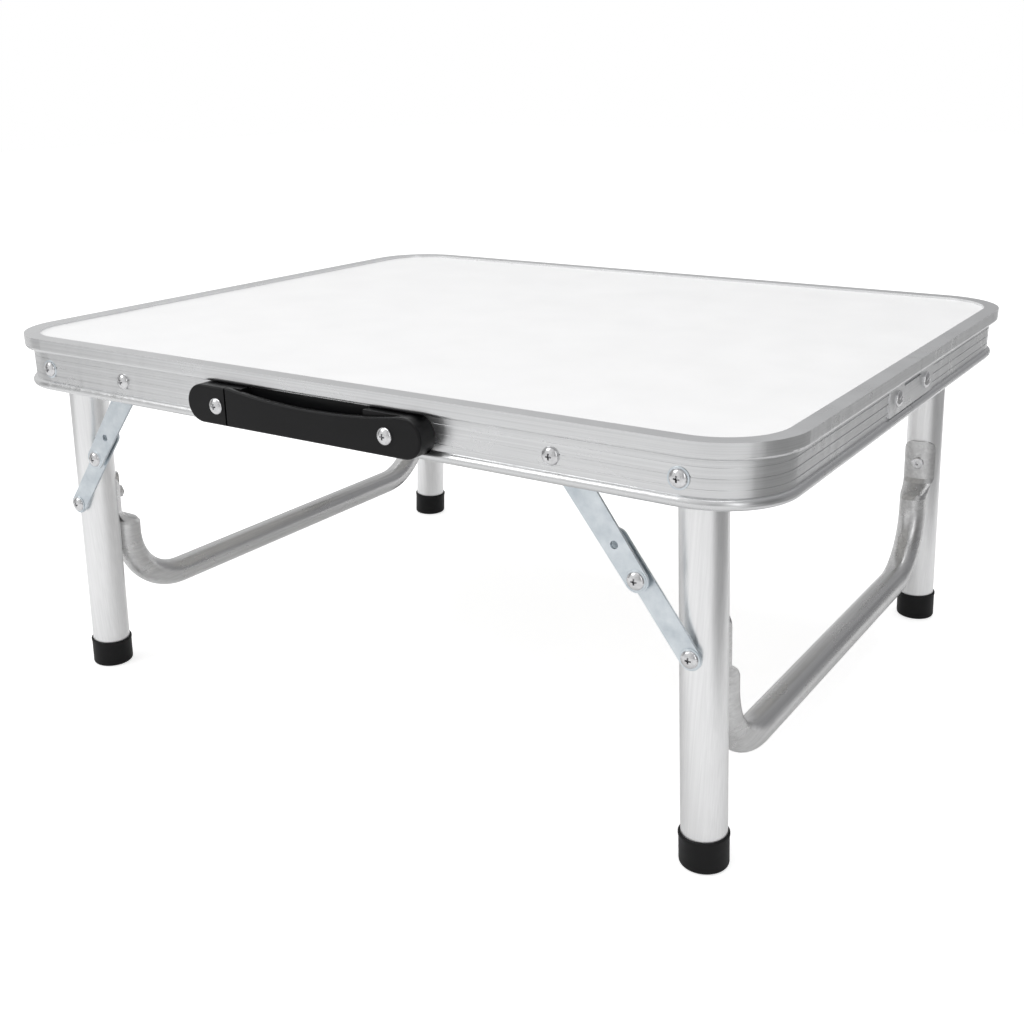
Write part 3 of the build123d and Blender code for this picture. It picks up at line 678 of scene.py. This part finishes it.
class TABLE_OT_screws(bpy.types.Operator):
    """Model the pan head screws, the knee pins and the leg bolts"""

    bl_idname = "folding_table.screws"
    bl_label = "Screws"

    def execute(self, context):
        sizes = context.scene.folding_table_sizes
        plating = plated_screw_finish("Screw plating", context.scene.folding_table_colours.chrome)
        head_radius, head_height = sizes.screw_head_radius, sizes.screw_head_height

        def screws(node, body, length, seats):
            """Replaces a node of screws. seats lists each screw's place and head direction."""
            master = model_screw(length, sizes)
            copies = [place_copy(master, node, place, facing) for place, facing in seats]
            bpy.data.objects.remove(master, do_unlink=True)
            piece = join_pieces(copies, f"{node}_turned")
            finish_piece(piece, body, plating, 40)
            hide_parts(node)

        for node in ("brace_frame_screws", "handle_screws"):
            low, high = node_corners(node)
            z = (low.z + high.z) / 2
            ends = (low.x + head_radius, high.x - head_radius)
            seats = [(Vector((x, low.y + head_height, z)), FORWARDS) for x in ends]
            screws(node, "tabletop", high.y - low.y - head_height, seats)
        # the pivot screws reach just past their nuts, which are as high as the handle's
        low, high = node_corners("leg_pivot_screws")
        nut_low, nut_high = node_corners("handle_nuts")
        nut_start = node_corners("leg_pivot_nuts")[0].y
        length = nut_start + (nut_high.y - nut_low.y) * 1.2 - low.y - head_height
        screws("leg_pivot_screws", "tabletop", length, pivot_seats(sizes))
        low, high = node_corners("splice_screws")
        z = (low.z + high.z) / 2
        ends = (low.y + head_radius, high.y - head_radius)
        seats = [(Vector((high.x - head_height, y, z)), RIGHTWARDS) for y in ends]
        screws("splice_screws", "tabletop", high.x - low.x - head_height, seats)
        for name in SIDES:
            for node, body in lone_fasteners(name):
                low, high = node_corners(node)
                seat = front_seat(node, head_height)
                screws(node, body, high.y - low.y - head_height, [(seat, FORWARDS)])
        return {"FINISHED"}


class TABLE_OT_washers(bpy.types.Operator):
    """Model the thin washers round the pivot heads"""

    bl_idname = "folding_table.washers"
    bl_label = "Washers"

    def execute(self, context):
        sizes = context.scene.folding_table_sizes
        zinc = zinc_finish("Washer plate", context.scene.folding_table_colours.zinc)
        inner = sizes.screw_head_radius * WASHER_HOLE
        outer = sizes.screw_head_radius + sizes.washer_width

        def washers(name, body, seats):
            """Models washers on a list of seats and joins them into one piece."""
            master = model_washer(inner, outer, sizes.washer_thickness)
            copies = [place_copy(master, name, place, facing) for place, facing in seats]
            bpy.data.objects.remove(master, do_unlink=True)
            finish_piece(join_pieces(copies, name), body, zinc)

        washers("leg_pivot_washers", "tabletop", pivot_seats(sizes))
        for name in SIDES:
            for node, body in lone_fasteners(name):
                seat = front_seat(node, sizes.screw_head_height)
                washers(f"{node}_washer", body, [(seat, FORWARDS)])
        return {"FINISHED"}


class TABLE_OT_feet(bpy.types.Operator):
    """Model the rubber feet as cups with a rolled rim and a ribbed sole"""

    bl_idname = "folding_table.feet"
    bl_label = "Rubber feet"

    def execute(self, context):
        sizes = context.scene.folding_table_sizes
        black = context.scene.folding_table_colours.rubber
        rubber = moulded_finish("Foot rubber", black, roughness=0.50, grain_size=0.0007)
        for name, side in SIDES.items():
            for end in ("front", "back"):
                self.foot(f"{name}_{end}_foot", side, f"leg_set_{name}", sizes, rubber)
        return {"FINISHED"}

    def foot(self, node, side, body, sizes, rubber):
        """Models one foot upright at the origin, leans it, sets it down and cuts its sole."""
        low, high = node_corners(node)
        radius = (high.y - low.y) / 2
        wall = sizes.foot_wall
        height = (high.z - radius * math.sin(sizes.leg_lean)) / math.cos(sizes.leg_lean)
        sole_x = side * (max(abs(low.x), abs(high.x)) - radius / math.cos(sizes.leg_lean))
        clear_selection()
        # the blank reaches a fifth of its height below the floor, where the sole is cut
        bpy.ops.mesh.primitive_cylinder_add(
            vertices=64, radius=radius, depth=height * 1.2, location=(0, 0, height * 0.4),
        )
        foot = bpy.context.object
        bpy.ops.object.transform_apply(location=True)
        bpy.ops.object.mode_set(mode="EDIT")
        # rolled rim: the wall turns in at the top round the tube
        select_faces(foot, lambda centre, normal: normal.z > 0.99)
        bpy.ops.mesh.inset(thickness=wall)
        drop = (0, 0, -height * CUP_DEPTH)
        bpy.ops.mesh.extrude_region_move(TRANSFORM_OT_translate={"value": drop})
        for share in RIM_EDGES:
            bpy.ops.mesh.select_all(action="SELECT")
            bpy.ops.mesh.bisect(plane_co=(0, 0, height * share), plane_no=(0, 0, 1))
        outside = radius - wall * 0.5
        select_edges(foot, lambda co: co.z > height * 0.9 and co.xy.length > outside)
        bpy.ops.transform.resize(value=(1 + sizes.foot_lip / radius,) * 2 + (1,))
        select_edges(foot, lambda co: co.z > height * 0.99 and co.xy.length > outside)
        bpy.ops.mesh.bevel(offset=wall * RIM_ROUND, segments=4)
        bpy.ops.object.mode_set(mode="OBJECT")
        foot.rotation_euler = (0, -side * sizes.leg_lean, 0)
        foot.location = (sole_x, (low.y + high.y) / 2, 0)
        bpy.ops.object.transform_apply(location=True, rotation=True)
        # the sole is cut flat on the floor and its edge is rounded
        bpy.ops.object.mode_set(mode="EDIT")
        bpy.ops.mesh.select_all(action="SELECT")
        bpy.ops.mesh.bisect(plane_co=(0, 0, 0), plane_no=(0, 0, 1), use_fill=True, clear_inner=True)
        select_faces(foot, lambda centre, normal: normal.z < -0.99 and centre.z < 1e-5)
        bpy.ops.mesh.region_to_loop()
        bpy.ops.mesh.bevel(offset=sizes.foot_round, segments=6)
        for width, step in SOLE_RINGS:
            middle = foot_middle(foot)
            select_faces(
                foot,
                lambda centre, normal: normal.z < -0.99 and (centre.xy - middle).length < SOLE_BAND,
            )
            bpy.ops.mesh.inset(thickness=width)
            if step:
                bpy.ops.transform.translate(value=(0, 0, step))
        bpy.ops.object.mode_set(mode="OBJECT")
        piece = join_pieces([foot], f"{node}_cup")
        finish_piece(piece, body, rubber, 40)
        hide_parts(node)


def foot_middle(foot):
    """The middle of a foot's flat sole, in plan, while it is being edited."""
    mesh = bmesh.from_edit_mesh(foot.data)
    lowest = [vert.co for vert in mesh.verts if vert.co.z < SOLE_BAND]
    return (Vector(map(min, zip(*lowest))).xy + Vector(map(max, zip(*lowest))).xy) / 2


class TABLE_OT_studio(bpy.types.Operator):
    """Set the pale floor, the soft lights and the camera"""

    bl_idname = "folding_table.studio"
    bl_label = "Studio"

    def execute(self, context):
        studio = context.scene.folding_table_studio
        clear_selection()
        bpy.ops.mesh.primitive_plane_add(size=FLOOR_SIZE, location=FLOOR_MIDDLE)
        floor = bpy.context.object
        floor.name = "studio_floor"
        paper, tree, shader = new_finish("Studio floor", studio.floor, 0.9, Specular_IOR_Level=0.0)
        shader.inputs["Emission Color"].default_value = (1, 1, 1, 1)
        seen = tree.nodes.new("ShaderNodeLightPath").outputs["Is Camera Ray"]
        glow = spread(tree, seen, low=FLOOR_SHEEN, high=studio.floor_glow, start=0.0, end=1.0)
        tree.links.new(glow, shader.inputs["Emission Strength"])
        floor.data.materials.append(paper)
        self.cards()
        self.lights(context)
        self.surroundings(context)
        self.camera(context, studio)
        context.scene.view_settings.view_transform = "Standard"
        return {"FINISHED"}

    def lights(self, context):
        """Soft area lights, all aimed at the table's middle."""
        for name, place, size, power in LIGHTS:
            light = bpy.data.lights.new(name, "AREA")
            light.shape = "RECTANGLE"
            light.size, light.size_y = size
            light.energy = power
            lamp = bpy.data.objects.new(name, light)
            lamp.location = place
            aim = Vector(LIGHTS_AIM) - Vector(place)
            lamp.rotation_euler = aim.to_track_quat("-Z", "Y").to_euler()
            context.collection.objects.link(lamp)

    def cards(self):
        """Grey cards that only the metal mirrors, so that the tubes have darker flanks."""
        for name, place, size, turn, tone in CARDS:
            clear_selection()
            bpy.ops.mesh.primitive_plane_add(size=1, location=place, rotation=turn)
            card = bpy.context.object
            card.name = name
            card.scale = (*size, 1)
            paper, tree, shader = new_finish(name, (0, 0, 0), 1.0, Specular_IOR_Level=0.0)
            shader.inputs["Emission Color"].default_value = (tone, tone, tone, 1)
            shader.inputs["Emission Strength"].default_value = 1.0
            card.data.materials.append(paper)
            card.visible_camera = False
            card.visible_diffuse = False
            card.visible_shadow = False

    def surroundings(self, context):
        """White behind the table, and a softer room, darker to the back right, for the metal."""
        world = bpy.data.worlds.new("Studio surroundings")
        context.scene.world = world
        world.use_nodes = True
        tree = world.node_tree
        tree.nodes.clear()
        output = tree.nodes.new("ShaderNodeOutputWorld")
        mix = tree.nodes.new("ShaderNodeMixShader")
        behind = tree.nodes.new("ShaderNodeBackground")
        behind.inputs["Color"].default_value = (1, 1, 1, 1)
        behind.inputs["Strength"].default_value = 1.0
        room = tree.nodes.new("ShaderNodeBackground")
        room.inputs["Strength"].default_value = ROOM_STRENGTH
        direction = tree.nodes.new("ShaderNodeTexCoord")
        across = tree.nodes.new("ShaderNodeVectorMath")
        across.operation = "DOT_PRODUCT"
        across.inputs[1].default_value = ROOM_DARK_SIDE
        tree.links.new(direction.outputs["Generated"], across.inputs[0])
        dusk = spread(tree, across.outputs["Value"], low=0.0, high=1.0, start=-0.8, end=0.8)
        tone = blend_colours(tree, dusk, ROOM_LIGHT, ROOM_DARK, start=0.1, end=0.9)
        tree.links.new(tone, room.inputs["Color"])
        path = tree.nodes.new("ShaderNodeLightPath")
        tree.links.new(path.outputs["Is Camera Ray"], mix.inputs["Fac"])
        tree.links.new(room.outputs["Background"], mix.inputs[1])
        tree.links.new(behind.outputs["Background"], mix.inputs[2])
        tree.links.new(mix.outputs["Shader"], output.inputs["Surface"])

    def camera(self, context, studio):
        """The camera, turned by yaw, then pitch, then roll."""
        lens = bpy.data.cameras.new("Studio camera")
        lens.sensor_width = SENSOR_WIDTH
        lens.lens = studio.focal_length
        lens.clip_start = 0.01
        camera = bpy.data.objects.new("Studio camera", lens)
        yaw = Matrix.Rotation(studio.camera_yaw, 4, "Z")
        pitch = Matrix.Rotation(math.pi / 2 - studio.camera_pitch, 4, "X")
        roll = Matrix.Rotation(studio.camera_roll, 4, "Z")
        camera.matrix_world = Matrix.Translation(studio.camera_place) @ yaw @ pitch @ roll
        context.collection.objects.link(camera)
        context.scene.camera = camera


class TABLE_PT_panel(bpy.types.Panel):
    """Every size and colour, and a button for each operator"""

    bl_label = "Folding Table"
    bl_idname = "TABLE_PT_panel"
    bl_space_type = "VIEW_3D"
    bl_region_type = "UI"
    bl_category = "Folding Table"

    def draw(self, context):
        for group in ("folding_table_colours", "folding_table_sizes", "folding_table_studio"):
            settings = getattr(context.scene, group)
            for name in settings.bl_rna.properties.keys():
                if name not in ("rna_type", "name"):
                    self.layout.prop(settings, name)
        for operator in OPERATORS:
            self.layout.operator(operator.bl_idname)


OPERATORS = (
    TABLE_OT_metal_finishes,
    TABLE_OT_top_and_mouldings,
    TABLE_OT_screws,
    TABLE_OT_washers,
    TABLE_OT_feet,
    TABLE_OT_studio,
)
GROUPS = {
    "folding_table_colours": FoldingTableColours,
    "folding_table_sizes": FoldingTableSizes,
    "folding_table_studio": FoldingTableStudio,
}


def register():
    for group in GROUPS.values():
        bpy.utils.register_class(group)
    for name, group in GROUPS.items():
        setattr(bpy.types.Scene, name, bpy.props.PointerProperty(type=group))
    for operator in OPERATORS:
        bpy.utils.register_class(operator)
    bpy.utils.register_class(TABLE_PT_panel)


def unregister():
    bpy.utils.unregister_class(TABLE_PT_panel)
    for operator in reversed(OPERATORS):
        bpy.utils.unregister_class(operator)
    for name in GROUPS:
        delattr(bpy.types.Scene, name)
    for group in reversed(list(GROUPS.values())):
        bpy.utils.unregister_class(group)


def main():
    register()
    bpy.ops.folding_table.metal_finishes()
    bpy.ops.folding_table.top_and_mouldings()
    bpy.ops.folding_table.screws()
    bpy.ops.folding_table.washers()
    bpy.ops.folding_table.feet()
    bpy.ops.folding_table.studio()


if __name__ == "__main__":
    main()
